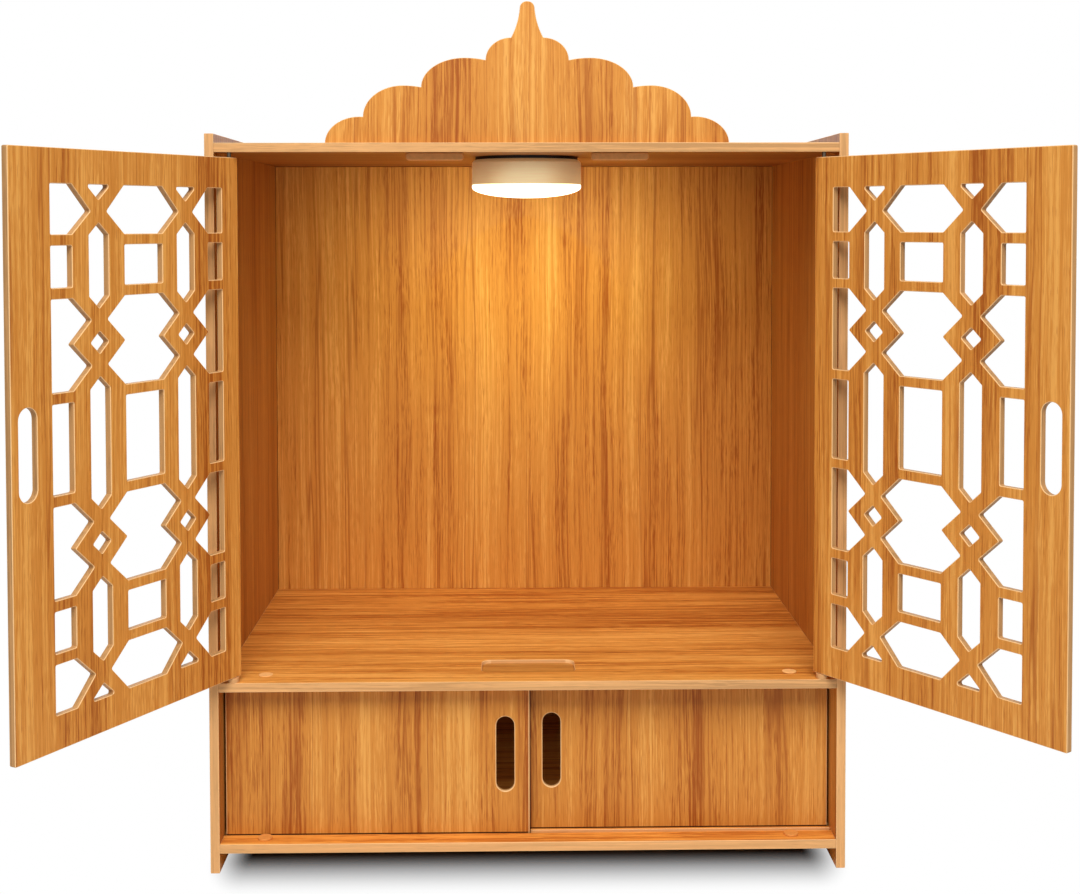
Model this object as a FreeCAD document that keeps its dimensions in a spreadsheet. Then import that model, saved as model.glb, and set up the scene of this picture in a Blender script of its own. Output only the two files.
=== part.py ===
"""Pooja mandir: a free-standing home shrine of thin boards with two pierced lattice doors.

Frame: +Z up, the front faces -Y, X runs along the width. The origin is the middle of the
back panel's foot, on the floor. All lengths are in millimetres, all angles in degrees.
"""

import FreeCAD, Part
import math
import os

from FreeCAD import Placement, Rotation, Vector
import Sketcher

doc = FreeCAD.newDocument("pooja_mandir")

# Driving dimensions: name, value, meaning
SIZES = (
    ("case_width", 620.0, "outside of one side panel to outside of the other"),
    ("case_depth", 400.0, "front edges to the rear face"),
    ("side_height", 719.0, "side panels, feet included"),
    ("board", 9.0, "thickness of every fixed board"),
    ("foot_height", 19.5, "clear height under the bottom board"),
    ("shelf_height", 187.0, "floor to the shelf's upper face"),
    ("roof_lip", 9.0, "side panels above the top board"),
    ("door_thickness", 6.5, "lattice doors"),
    ("door_gap", 5.0, "above and below each lattice door"),
    ("meeting_gap", 5.0, "between the closed lattice doors"),
    ("pivot_inset", 14.0, "door pivot from the side panel's inner face"),
    ("pivot_depth", 5.0, "door pivot behind the front edges"),
    ("hinge_overhang", 8.3, "door beyond its pivot"),
    ("left_opening", 118.1, "left door's angle from closed, at rest"),
    ("right_opening", 124.1, "right door's angle from closed, at rest"),
    ("pin_radius", 2.0, "pivot pins"),
    ("pin_reach", 12.0, "pivot pin inside the door"),
    ("pin_seat", 5.0, "pivot pin inside a board"),
    ("pin_play", 0.05, "radial running clearance of a pin"),
    ("washer_radius", 5.5, "spacers under the lattice doors"),
    ("seat_play", 0.3, "running gap between a moving piece and its seat"),
    ("free_stile", 46.0, "plain stile at the door's free edge"),
    ("hinge_stile", 24.0, "plain stile at the door's hinge edge"),
    ("hinge_column_cut", 4.0, "middle of the last lattice column inside the hinge stile"),
    ("lattice_rail", 29.7, "plain rail above and below the lattice"),
    ("edge_rise", 3.3, "extra height of the lattice's first and last rows"),
    ("lattice_bar", 9.4, "height of the level bars between holes"),
    ("upright_bar", 19.95, "bars between the rectangular and the narrow pointed holes"),
    ("crossing_bar", 19.6, "diagonal crossing, point to point, level and upright"),
    ("pencil_half", 12.0, "half width of a narrow pointed hole"),
    ("lattice_slope", 0.883, "rise over run of the diagonal bars"),
    ("tall_share", 0.52, "half of the tall hole, as a share of it and a square hole"),
    ("door_slot_width", 20.4, "finger slot of a lattice door"),
    ("door_slot_height", 78.0, "finger slot of a lattice door"),
    ("door_slot_inset", 18.4, "finger slot's centre from the free edge"),
    ("slider_thickness", 6.0, "sliding doors"),
    ("slider_setback", 24.0, "front sliding door behind the front edges"),
    ("slider_spacing", 5.0, "between the two sliding doors"),
    ("slider_end_gap", 2.0, "closed sliding door to the side panel"),
    ("slider_overlap", 4.0, "closed sliding doors over each other"),
    ("slider_slot_width", 17.8, "finger slot of a sliding door"),
    ("slider_slot_height", 74.5, "finger slot of a sliding door"),
    ("slider_slot_inset", 25.0, "finger slot's centre from the meeting edge"),
    ("slider_slot_rise", 79.0, "finger slot's centre above the bottom board"),
    ("track_play", 0.5, "groove beside each face of a sliding door"),
    ("lower_track", 4.0, "groove depth in the bottom board"),
    ("upper_track", 6.0, "groove depth in the shelf's underside"),
    ("slider_lift", 2.5, "room above a sliding door in its upper groove"),
    ("tray_width", 93.0, "shallow recess in the shelf"),
    ("tray_length", 44.0, "shallow recess in the shelf"),
    ("tray_depth", 4.0, "shallow recess in the shelf"),
    ("tray_corner", 9.0, "corner radius of the recess"),
    ("tray_setback", 31.0, "recess behind the front edges"),
    ("cover_radius", 7.0, "round covers of the board fittings"),
    ("cover_thickness", 0.8, "round covers on the shelf"),
    ("low_cover_thickness", 2.2, "round covers on the bottom board"),
    ("cover_inset", 42.0, "cover's centre from the side panel's inner face"),
    ("shelf_cover_depth", 27.0, "shelf cover's centre behind the front edges"),
    ("bottom_cover_depth", 14.0, "bottom cover's centre behind the front edges"),
    ("catch_length", 56.0, "rounded bars behind the closed doors"),
    ("catch_drop", 7.5, "rounded bars under the top board"),
    ("catch_thickness", 8.0, "rounded bars, front to back"),
    ("catch_corner", 3.0, "rounding of the bars' ends"),
    ("catch_gap", 5.0, "closed door's inner face to the bar"),
    ("catch_centre", 90.0, "bar's middle from the cabinet's centre line"),
    ("lamp_radius", 56.5, "lamp's drum"),
    ("lamp_drum", 26.0, "height of the lamp's drum"),
    ("lamp_edge", 3.0, "bevel of the drum's upper edge"),
    ("lamp_dome", 13.5, "drop of the lamp's diffuser"),
    ("diffuser_lip", 2.5, "upright rim of the diffuser"),
    ("diffuser_shoulder", 8.5, "rounding between the diffuser's rim and its underside"),
    ("shoulder_bevels", 5, "number of cone bands that make the rounding"),
    ("diffuser_ring", 18.0, "width of the sloping ring of the underside"),
    ("diffuser_slope", 1.9, "fall of the sloping ring"),
    ("lamp_depth", 120.0, "lamp's centre behind the front edges"),
    ("lamp_plate_radius", 53.0, "lamp's mounting plate"),
    ("lamp_plate_thickness", 3.0, "lamp's mounting plate"),
    ("crown_setback", 15.0, "crown's front face behind the front edges"),
    ("crown_half", 196.3, "half width of the crown at its foot"),
    ("finial_height", 137.3, "crown's foot to the finial's tip"),
    ("tenon_width", 40.0, "crown's tenons in the top board"),
    ("tenon_depth", 6.0, "crown's tenons in the top board"),
    ("tenon_spacing", 260.0, "between the centres of the two tenons"),
)

# Sizes that follow from the ones above: name, formula, meaning. Half of the lattice's height
# holds three level bars, three hexagon heights, the extra height of the outer row, a square
# hole and half of the tall hole.
FOLLOWING = (
    ("door_width", "case_width / 2 - board - pivot_inset + hinge_overhang - meeting_gap / 2",
     "lattice doors"),
    ("door_height", "side_height - roof_lip - board - shelf_height - 2 * door_gap",
     "lattice doors"),
    ("column_pitch", "(door_width - free_stile - hinge_stile + hinge_column_cut) / 2",
     "lattice columns, centre to centre"),
    ("tip_half", "(column_pitch - crossing_bar) / 2",
     "half width of a hexagonal hole, tip to tip"),
    ("flat_half", "column_pitch / 2 - pencil_half - upright_bar",
     "half width of a rectangular lattice hole"),
    ("hexagon_hole", "2 * lattice_slope * (tip_half - flat_half)",
     "height of a hexagonal hole"),
    ("half_lattice", "door_height / 2 - lattice_rail", "half of the lattice's height"),
    ("shared_height", "half_lattice - edge_rise - 3 * lattice_bar - 3 * hexagon_hole",
     "a square hole and half of the tall hole together"),
    ("tall_hole", "2 * tall_share * shared_height", "height of the middle rectangular hole"),
    ("square_hole", "(1 - tall_share) * shared_height", "height of the other rectangular holes"),
)

sheet = doc.addObject("Spreadsheet::Sheet", "sizes")
formulas = [(alias, f"={formula}", meaning) for alias, formula, meaning in FOLLOWING]
for row, (alias, content, meaning) in enumerate(list(SIZES) + formulas, 1):
    sheet.set(f"A{row}", alias)
    sheet.set(f"B{row}", str(content))
    sheet.set(f"C{row}", meaning)
    sheet.setAlias(f"B{row}", alias)
doc.recompute()

# Places worked out from the sheet, written once as expressions
HALF_CLEAR = "(sizes.case_width / 2 - sizes.board)"
FRONT = "(sizes.board / 2 - sizes.case_depth)"
CLEAR_DEPTH = "(sizes.case_depth - sizes.board)"
ROOF_TOP = "(sizes.side_height - sizes.roof_lip)"
ROOF_UNDER = "(sizes.side_height - sizes.roof_lip - sizes.board)"
SHELF_UNDER = "(sizes.shelf_height - sizes.board)"
BOTTOM_TOP = "(sizes.foot_height + sizes.board)"
PIVOT_X = "(sizes.case_width / 2 - sizes.board - sizes.pivot_inset)"
PIVOT_Y = f"({FRONT} + sizes.pivot_depth)"
DOOR_FOOT = "(sizes.shelf_height + sizes.door_gap)"
TRACK_WIDTH = "(sizes.slider_thickness + 2 * sizes.track_play)"
TRACK_PITCH = "(sizes.slider_thickness + sizes.slider_spacing)"
SLIDER_Y = f"({FRONT} + sizes.slider_setback)"
SLIDER_FOOT = f"({BOTTOM_TOP} - sizes.lower_track + sizes.seat_play)"
SLIDER_HEIGHT = f"({SHELF_UNDER} + sizes.upper_track - sizes.slider_lift - {SLIDER_FOOT})"
SLIDER_WIDTH = f"({HALF_CLEAR} - sizes.slider_end_gap + sizes.slider_overlap / 2)"
LAMP_Y = f"({FRONT} + sizes.lamp_depth)"
CROWN_Y = f"({FRONT} + sizes.crown_setback)"


def value(expression):
    """The number that an expression on the sheet gives."""
    return float(sheet.evalExpression(expression))


def bind(thing, **expressions):
    """Tie properties of an object to expressions on the sheet."""
    for prop, expression in expressions.items():
        thing.setExpression(prop, expression)
    return thing


def place(thing, x="0", y="0", z="0"):
    """Tie an object's position to expressions on the sheet."""
    thing.setExpression("Placement.Base.x", x)
    thing.setExpression("Placement.Base.y", y)
    thing.setExpression("Placement.Base.z", z)
    return thing


def block(label, length, width, height, x="0", y="0", z="0"):
    """A box with its lowest corner at x, y, z."""
    box = doc.addObject("Part::Box", label)
    bind(box, Length=length, Width=width, Height=height)
    return place(box, x, y, z)


def rod(label, radius, height, x="0", y="0", z="0"):
    """An upright cylinder with its foot at x, y, z."""
    cylinder = doc.addObject("Part::Cylinder", label)
    bind(cylinder, Radius=radius, Height=height)
    return place(cylinder, x, y, z)


def cut(label, base, tools):
    """A piece with one or more tools cut out of it."""
    tool = tools[0]
    if len(tools) > 1:
        tool = doc.addObject("Part::MultiFuse", label + "_cuts")
        tool.Shapes = tools
    result = doc.addObject("Part::Cut", label)
    result.Base = base
    result.Tool = tool
    return result


def plain_feature(label, shape, placement=Placement()):
    """A piece whose shape is computed here from the sheet's values."""
    feature = doc.addObject("Part::Feature", label)
    feature.Shape = shape
    feature.Placement = placement
    return feature


def side_panels():
    """Two full-height boards, which are also the feet."""
    size = ("sizes.board", "sizes.case_depth", "sizes.side_height")
    left = block("side_panel_left", *size, "-sizes.case_width / 2", FRONT)
    right = block("side_panel_right", *size, HALF_CLEAR, FRONT)
    return [left, right]


def back_panel():
    """The rear board, between the side panels, from the floor to the top board."""
    panel = block(
        "back_panel", f"2 * {HALF_CLEAR}", "sizes.board", ROOF_UNDER,
        f"-{HALF_CLEAR}", "-sizes.board / 2",
    )
    return [panel]


def pin_socket(label, x, z):
    """A blind hole for the end of a pivot pin, as a tool."""
    return rod(label, "sizes.pin_radius + sizes.pin_play", "sizes.pin_seat", x, PIVOT_Y, z)


def top_board():
    """The roof, over the back panel, with pin sockets below and tenon slots above."""
    blank = block(
        "top_board_blank", f"2 * {HALF_CLEAR}", "sizes.case_depth", "sizes.board",
        f"-{HALF_CLEAR}", FRONT, ROOF_UNDER,
    )
    tools = [
        pin_socket("socket_left_upper", f"-{PIVOT_X}", ROOF_UNDER),
        pin_socket("socket_right_upper", PIVOT_X, ROOF_UNDER),
    ]
    for name, sign in (("left", "-"), ("right", "")):
        middle = f"({sign}sizes.tenon_spacing / 2)"
        slot = block(
            f"tenon_slot_{name}", "sizes.tenon_width", "sizes.board", "sizes.tenon_depth",
            f"{middle} - sizes.tenon_width / 2", CROWN_Y, f"{ROOF_TOP} - sizes.tenon_depth",
        )
        tools.append(slot)
    return [cut("top_board", blank, tools)]


def tracks(label, z, depth):
    """The two grooves that the sliding doors run in, as tools."""
    grooves = []
    for name, pitches in (("front", 0), ("rear", 1)):
        groove = block(
            f"{label}_{name}", f"2 * {HALF_CLEAR}", TRACK_WIDTH, depth,
            f"-{HALF_CLEAR}", f"{SLIDER_Y} - sizes.track_play + {pitches} * {TRACK_PITCH}", z,
        )
        grooves.append(groove)
    return grooves


def shelf_board():
    """The shelf: a shallow rounded recess and pin sockets above, two grooves below."""
    blank = block(
        "shelf_board_blank", f"2 * {HALF_CLEAR}", CLEAR_DEPTH, "sizes.board",
        f"-{HALF_CLEAR}", FRONT, SHELF_UNDER,
    )
    tray = block(
        "tray_blank", "sizes.tray_width", "sizes.tray_length", "sizes.tray_depth",
        "-sizes.tray_width / 2", f"{FRONT} + sizes.tray_setback",
        "sizes.shelf_height - sizes.tray_depth",
    )
    doc.recompute()
    rounded = doc.addObject("Part::Fillet", "tray_cut")
    rounded.Base = tray
    corner = value("sizes.tray_corner")
    upright = [
        index for index, edge in enumerate(tray.Shape.Edges, 1)
        if abs(edge.tangentAt(edge.FirstParameter).z) > 0.5
    ]
    rounded.Edges = [(index, corner, corner) for index in upright]
    tools = [
        rounded,
        pin_socket("socket_left_lower", f"-{PIVOT_X}", "sizes.shelf_height - sizes.pin_seat"),
        pin_socket("socket_right_lower", PIVOT_X, "sizes.shelf_height - sizes.pin_seat"),
    ]
    tools += tracks("upper_track", SHELF_UNDER, "sizes.upper_track")
    return [cut("shelf_board", blank, tools)]


def bottom_board():
    """The bottom of the storage space, with two grooves for the sliding doors."""
    blank = block(
        "bottom_board_blank", f"2 * {HALF_CLEAR}", CLEAR_DEPTH, "sizes.board",
        f"-{HALF_CLEAR}", FRONT, "sizes.foot_height",
    )
    tools = tracks("lower_track", f"{BOTTOM_TOP} - sizes.lower_track", "sizes.lower_track")
    return [cut("bottom_board", blank, tools)]


def arc_through(start, middle, end):
    """An arc edge through three points."""
    return Part.Arc(start, middle, end).toShape()


def shoulder(foot, apex):
    """A quarter ellipse that leaves the foot upright and reaches the apex level."""
    centre = Vector(apex.x, 0, foot.z)
    reach = abs(foot.x - apex.x)
    rise = apex.z - foot.z
    side = math.copysign(1, foot.x - apex.x)
    half = math.sqrt(0.5)
    wide = reach > rise
    major = centre + (Vector(side * reach, 0, 0) if wide else Vector(0, 0, rise))
    minor = centre + (Vector(0, 0, rise) if wide else Vector(side * reach, 0, 0))
    ellipse = Part.Ellipse(major, minor, centre)
    middle = centre + Vector(side * reach * half, 0, rise * half)
    first = ellipse.parameter(foot)
    last = ellipse.parameter(apex)
    halfway = ellipse.parameter(middle)
    if not min(first, last) < halfway < max(first, last):
        if first < last:
            first += 2 * math.pi
        else:
            last += 2 * math.pi
    return Part.ArcOfEllipse(ellipse, min(first, last), max(first, last)).toShape()


# Crown outline on its right half: each lobe's foot, its top and the notch that ends it, as
# distances from the centre line and heights above the crown's foot. It is drawn for a crown of
# the half width and height below, and is stretched to the sizes on the sheet.
CROWN_DRAWN = (196.3, 137.3)
CROWN_LOBES = (
    ((196.3, 0.0), (163.0, 26.0), (159.3, 25.8)),
    ((159.3, 25.8), (120.6, 56.1), (102.9, 54.5)),
    ((102.9, 54.5), (60.9, 82.8), (40.4, 80.6)),
)
FINIAL_SHOULDER = (15.6, 102.3)
FINIAL_WAIST = (9.4, 118.0)
FINIAL_NECK = (7.2, 131.0)


def crown_half_outline(side):
    """Edges of one half of the crown, from its foot up to the finial's tip."""
    wide = value("sizes.crown_half") / CROWN_DRAWN[0]
    high = value("sizes.finial_height") / CROWN_DRAWN[1]
    tip = value("sizes.finial_height")

    def point(pair):
        return Vector(side * pair[0] * wide, 0, pair[1] * high)

    edges = []
    for foot, top, notch in CROWN_LOBES:
        edges.append(shoulder(point(foot), point(top)))
        run = top[0] - notch[0]
        fall = top[1] - notch[1]
        radius = (run * run + fall * fall) / (2 * fall)
        half_turn = math.asin(run / radius) / 2
        halfway = (top[0] - radius * math.sin(half_turn), top[1] - radius * (1 - math.cos(half_turn)))
        edges.append(arc_through(point(top), point(halfway), point(notch)))
    last_notch = CROWN_LOBES[-1][2]
    edges.append(shoulder(point(last_notch), point(FINIAL_SHOULDER)))
    edges.append(arc_through(point(FINIAL_SHOULDER), point(FINIAL_WAIST), point(FINIAL_NECK)))
    neck = point(FINIAL_NECK)
    rounding = Vector(neck.x * 0.72, 0, neck.z + (tip - neck.z) * 0.7)
    edges.append(arc_through(neck, rounding, Vector(0, 0, tip)))
    return edges


def crown_board():
    """The scalloped board on the top board, with two tenons let into it."""
    left = crown_half_outline(-1)
    right = crown_half_outline(1)
    feet = [value("-sizes.crown_half"), value("sizes.crown_half")]
    foot = Part.makeLine(Vector(feet[0], 0, 0), Vector(feet[1], 0, 0))
    outline = Part.Wire(Part.__sortEdges__([foot] + left + right))
    thickness = value("sizes.board")
    body = Part.Face(outline).extrude(Vector(0, thickness, 0))
    width = value("sizes.tenon_width")
    depth = value("sizes.tenon_depth")
    for middle in (value("-sizes.tenon_spacing / 2"), value("sizes.tenon_spacing / 2")):
        corner = Vector(middle - width / 2, 0, -depth)
        body = body.fuse(Part.makeBox(width, thickness, depth, corner))
    place_at = Vector(0, value(CROWN_Y), value(ROOF_TOP))
    return [plain_feature("crown_board", body.removeSplitter(), Placement(place_at, Rotation()))]


def lattice_holes(free_edge, hinge_edge, height):
    """Outlines of one door's lattice holes, as lists of (x, z) points.

    x runs from the free edge towards the hinge edge, z up from the door's foot. Three columns
    stand one pitch apart, the outer two cut in half by the stiles, and pointed columns stand
    between them. The pattern is the same above and below the door's middle.
    """
    flat = value("sizes.flat_half")
    tip = value("sizes.tip_half")
    pencil = value("sizes.pencil_half")
    bar = value("sizes.lattice_bar")
    crossing = value("sizes.crossing_bar") / 2
    hexagon = value("sizes.hexagon_hole")
    quarter = hexagon / 2
    slope = value("sizes.lattice_slope")
    pitch = value("sizes.column_pitch")
    middle_x = free_edge + pitch
    middle_z = height / 2
    tall = value("sizes.tall_hole") / 2
    double_low = tall + bar
    double_high = double_low + 2 * hexagon
    square_low = double_high + bar
    square_high = square_low + value("sizes.square_hole")
    top_low = square_high + bar
    top_high = top_low + hexagon + value("sizes.edge_rise")
    levels = (double_low + quarter, double_low + 3 * quarter, top_low + quarter)

    def clip(points):
        return [(min(max(x, free_edge), hinge_edge), z) for x, z in points]

    def column(x, low, high, half):
        return [(x - half, low), (x + half, low), (x + half, high), (x - half, high)]

    def hexagon_at(x, low, high):
        return [
            (x - flat, low), (x + flat, low), (x + tip, low + quarter),
            (x + flat, high), (x - flat, high), (x - tip, low + quarter),
        ]

    def double_at(x, low):
        right = [
            (x + flat, low), (x + tip, low + quarter), (x + flat, low + hexagon),
            (x + tip, low + 3 * quarter), (x + flat, low + 2 * hexagon),
        ]
        left = [(2 * x - px, pz) for px, pz in reversed(right)]
        return right + left

    def pointed(x, low, high, half):
        point_rise = half * slope
        return [
            (x, low), (x + half, low + point_rise), (x + half, high - point_rise),
            (x, high), (x - half, high - point_rise), (x - half, low + point_rise),
        ]

    def diamond(x, low, high):
        half = (high - low) / 2 / slope
        centre = (low + high) / 2
        return [(x, low), (x + half, centre), (x, high), (x - half, centre)]

    def pointed_end(x, point, base, half):
        wide = min(half, (base - point) / slope)
        shoulder = point + wide * slope
        return [
            (x, point), (x + wide, shoulder), (x + wide, base),
            (x - wide, base), (x - wide, shoulder),
        ]

    upper = []
    for x in (middle_x - pitch, middle_x, middle_x + pitch):
        upper.append(double_at(x, double_low))
        upper.append(column(x, square_low, square_high, flat))
        upper.append(hexagon_at(x, top_low, top_high))
    for x in (middle_x - pitch / 2, middle_x + pitch / 2):
        upper.append(diamond(x, levels[0] + crossing, levels[1] - crossing))
        upper.append(pointed(x, levels[1] + crossing, levels[2] - crossing, pencil))
        upper.append(pointed_end(x, levels[2] + crossing, top_high, pencil))
    lower = [[(x, -z) for x, z in reversed(hole)] for hole in upper]
    central = [column(x, -tall, tall, flat) for x in (middle_x - pitch, middle_x, middle_x + pitch)]
    reach = levels[0] - crossing
    central += [
        pointed(x, -reach, reach, pencil) for x in (middle_x - pitch / 2, middle_x + pitch / 2)
    ]
    holes = [clip(hole) for hole in upper + lower + central]
    return [[(x, z + middle_z) for x, z in hole] for hole in holes]


def without_repeats(points):
    """The same outline with points that fall on their neighbour left out."""
    kept = []
    for point in points:
        if not kept or math.dist(point, kept[-1]) > 0.01:
            kept.append(point)
    if math.dist(kept[0], kept[-1]) < 0.01:
        kept.pop()
    return kept


def prism(points, thickness):
    """A solid of the outline's shape, through a board whose middle plane is y = 0."""
    corners = [Vector(x, -thickness, z) for x, z in without_repeats(points)]
    face = Part.Face(Part.makePolygon(corners + [corners[0]]))
    return face.extrude(Vector(0, 2 * thickness, 0))


def stadium(width, height, x, z, thickness):
    """A solid with half-round ends, for a finger slot centred at x, z."""
    radius = width / 2
    straight = height / 2 - radius
    ends = [z - straight, z + straight]
    body = Part.makeBox(width, 2 * thickness, 2 * straight, Vector(x - radius, -thickness, ends[0]))
    for end in ends:
        base = Vector(x, -thickness, end)
        body = body.fuse(Part.makeCylinder(radius, 2 * thickness, base, Vector(0, 1, 0)))
    return body


def lattice_door(side):
    """One pierced door, closed, with its pivot line at x = 0 and its foot at z = 0.

    It reaches from the hinge edge past the pivot to the free edge at the middle of the front.
    side is -1 for the left door and 1 for the right one.
    """
    thickness = value("sizes.door_thickness")
    height = value("sizes.door_height")
    overhang = value("sizes.hinge_overhang")
    width = value("sizes.door_width")

    def across(from_free_edge):
        return side * (from_free_edge - width + overhang)

    corner = Vector(min(across(0), across(width)), -thickness / 2, 0)
    slab = Part.makeBox(width, thickness, height, corner)
    hinge_edge = width - value("sizes.hinge_stile")
    outlines = lattice_holes(value("sizes.free_stile"), hinge_edge, height)
    tools = [prism([(across(x), z) for x, z in points], thickness) for points in outlines]
    slot_width = value("sizes.door_slot_width")
    slot_height = value("sizes.door_slot_height")
    slot_x = across(value("sizes.door_slot_inset"))
    tools.append(stadium(slot_width, slot_height, slot_x, height / 2, thickness))
    bore = value("sizes.pin_radius + sizes.pin_play")
    reach = value("sizes.pin_reach + sizes.seat_play")
    for foot in (0, height - reach):
        tools.append(Part.makeCylinder(bore, reach, Vector(0, 0, foot)))
    return slab.cut(Part.makeCompound(tools)).Solids[0]


def lattice_doors():
    """Both pierced doors, standing open at their rest angles."""
    doors = []
    for name, side in (("left", -1), ("right", 1)):
        angle = side * value(f"sizes.{name}_opening")
        pivot = Vector(side * value(PIVOT_X), value(PIVOT_Y), value(DOOR_FOOT))
        turn = Rotation(Vector(0, 0, 1), angle)
        doors.append(plain_feature(f"lattice_door_{name}", lattice_door(side), Placement(pivot, turn)))
    return doors


def pivots():
    """Four pivot pins, and a spacer round each lower one for the door to turn on."""
    pieces = []
    length = "sizes.pin_seat + sizes.door_gap + sizes.pin_reach"
    for name, x in (("left", f"-{PIVOT_X}"), ("right", PIVOT_X)):
        lower_foot = "sizes.shelf_height - sizes.pin_seat"
        pieces.append(rod(f"pivot_pin_{name}_lower", "sizes.pin_radius", length, x, PIVOT_Y, lower_foot))
        upper_foot = f"{ROOF_UNDER} - sizes.door_gap - sizes.pin_reach"
        pieces.append(rod(f"pivot_pin_{name}_upper", "sizes.pin_radius", length, x, PIVOT_Y, upper_foot))
        height = "sizes.door_gap - sizes.seat_play"
        disc = rod(f"washer_disc_{name}", "sizes.washer_radius", height, x, PIVOT_Y, "sizes.shelf_height")
        bore_radius = "sizes.pin_radius + sizes.pin_play"
        bore = rod(f"washer_bore_{name}", bore_radius, height, x, PIVOT_Y, "sizes.shelf_height")
        pieces.append(cut(f"pivot_washer_{name}", disc, [bore]))
    return pieces


def door_sketch(body, name):
    """An empty sketch on the body's upright X-Z plane."""
    plane = next(item for item in body.Origin.OriginFeatures if item.Role == "XZ_Plane")
    sketch = body.newObject("Sketcher::SketchObject", name)
    sketch.AttachmentSupport = [(plane, "")]
    sketch.MapMode = "FlatFace"
    return sketch


def rectangle_sketch(body, name, width, height):
    """A rectangle from the sketch's origin, with width and height tied to the sheet."""
    sketch = door_sketch(body, name)
    far = value(width)
    top = value(height)
    corners = [Vector(0, 0), Vector(far, 0), Vector(far, top), Vector(0, top)]
    for index in range(4):
        sketch.addGeometry(Part.LineSegment(corners[index], corners[(index + 1) % 4]), False)
    for index in range(4):
        sketch.addConstraint(Sketcher.Constraint("Coincident", index, 2, (index + 1) % 4, 1))
    for index in (0, 2):
        sketch.addConstraint(Sketcher.Constraint("Horizontal", index))
    for index in (1, 3):
        sketch.addConstraint(Sketcher.Constraint("Vertical", index))
    sketch.addConstraint(Sketcher.Constraint("Coincident", 0, 1, -1, 1))
    wide = sketch.addConstraint(Sketcher.Constraint("DistanceX", 0, 1, 0, 2, far))
    tall = sketch.addConstraint(Sketcher.Constraint("DistanceY", 1, 1, 1, 2, top))
    sketch.setExpression(f"Constraints[{wide}]", width)
    sketch.setExpression(f"Constraints[{tall}]", height)
    return sketch


def slot_sketch(body, name, width, height, x, z):
    """An upright slot with half-round ends, centred at x, z, tied to the sheet."""
    sketch = door_sketch(body, name)
    radius = value(width) / 2
    straight = value(height) - 2 * radius
    low = value(z) - straight / 2
    high = low + straight
    middle = value(x)
    up = Vector(0, 0, 1)
    sketch.addGeometry(Part.LineSegment(Vector(middle + radius, low), Vector(middle + radius, high)), False)
    top = Part.Circle(Vector(middle, high), up, radius)
    sketch.addGeometry(Part.ArcOfCircle(top, 0, math.pi), False)
    sketch.addGeometry(Part.LineSegment(Vector(middle - radius, high), Vector(middle - radius, low)), False)
    foot = Part.Circle(Vector(middle, low), up, radius)
    sketch.addGeometry(Part.ArcOfCircle(foot, math.pi, 2 * math.pi), False)
    sketch.addConstraint(Sketcher.Constraint("Tangent", 0, 2, 1, 1))
    sketch.addConstraint(Sketcher.Constraint("Tangent", 1, 2, 2, 1))
    sketch.addConstraint(Sketcher.Constraint("Tangent", 2, 2, 3, 1))
    sketch.addConstraint(Sketcher.Constraint("Tangent", 3, 2, 0, 1))
    sketch.addConstraint(Sketcher.Constraint("Vertical", 0))
    across = sketch.addConstraint(Sketcher.Constraint("Radius", 1, radius))
    run = sketch.addConstraint(Sketcher.Constraint("DistanceY", 3, 3, 1, 3, high - low))
    along = sketch.addConstraint(Sketcher.Constraint("DistanceX", -1, 1, 3, 3, middle))
    rise = sketch.addConstraint(Sketcher.Constraint("DistanceY", -1, 1, 3, 3, low))
    sketch.setExpression(f"Constraints[{across}]", f"{width} / 2")
    sketch.setExpression(f"Constraints[{run}]", f"{height} - {width}")
    sketch.setExpression(f"Constraints[{along}]", x)
    sketch.setExpression(f"Constraints[{rise}]", f"{z} - ({height} - {width}) / 2")
    return sketch


def sliding_doors():
    """The two storage doors: the left one runs in front of the right one."""
    bodies = []
    rise = f"{BOTTOM_TOP} + sizes.slider_slot_rise - {SLIDER_FOOT}"
    places = (
        ("left", f"sizes.slider_end_gap - {HALF_CLEAR}", f"{SLIDER_WIDTH} - sizes.slider_slot_inset", 0),
        ("right", "-sizes.slider_overlap / 2", "sizes.slider_slot_inset", 1),
    )
    for name, left_edge, slot_x, pitches in places:
        body = doc.addObject("PartDesign::Body", f"sliding_door_{name}")
        outline = rectangle_sketch(body, f"slider_outline_{name}", SLIDER_WIDTH, SLIDER_HEIGHT)
        doc.recompute()
        pad = body.newObject("PartDesign::Pad", f"slider_board_{name}")
        pad.Profile = outline
        bind(pad, Length="sizes.slider_thickness")
        doc.recompute()
        slot = slot_sketch(
            body, f"slider_slot_{name}", "sizes.slider_slot_width", "sizes.slider_slot_height",
            slot_x, f"({rise})",
        )
        doc.recompute()
        before = pad.Shape.Volume
        pocket = body.newObject("PartDesign::Pocket", f"slider_cut_{name}")
        pocket.Profile = slot
        pocket.Type = "ThroughAll"
        pocket.Reversed = True
        doc.recompute()
        if not pocket.Shape.Volume < before - 1:
            raise RuntimeError(f"the finger slot of {body.Label} cuts nothing")
        back_face = f"{SLIDER_Y} + sizes.slider_thickness + {pitches} * {TRACK_PITCH}"
        place(body, left_edge, back_face, SLIDER_FOOT)
        bodies.append(body)
    return bodies


def fitting_covers():
    """Round press-on covers over the board fittings, two on the shelf and two below."""
    covers = []
    for board, depth, height, thickness in (
        ("shelf", "sizes.shelf_cover_depth", "sizes.shelf_height", "sizes.cover_thickness"),
        ("bottom", "sizes.bottom_cover_depth", BOTTOM_TOP, "sizes.low_cover_thickness"),
    ):
        for name, sign in (("left", "-"), ("right", "")):
            x = f"{sign}({HALF_CLEAR} - sizes.cover_inset)"
            y = f"{FRONT} + {depth}"
            label = f"{board}_cover_{name}"
            covers.append(rod(label, "sizes.cover_radius", thickness, x, y, height))
    return covers


def upright_corners(box):
    """Numbers of the edges of a box that run front to back."""
    return [
        index for index, edge in enumerate(box.Shape.Edges, 1)
        if abs(edge.tangentAt(edge.FirstParameter).y) > 0.5
    ]


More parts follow.
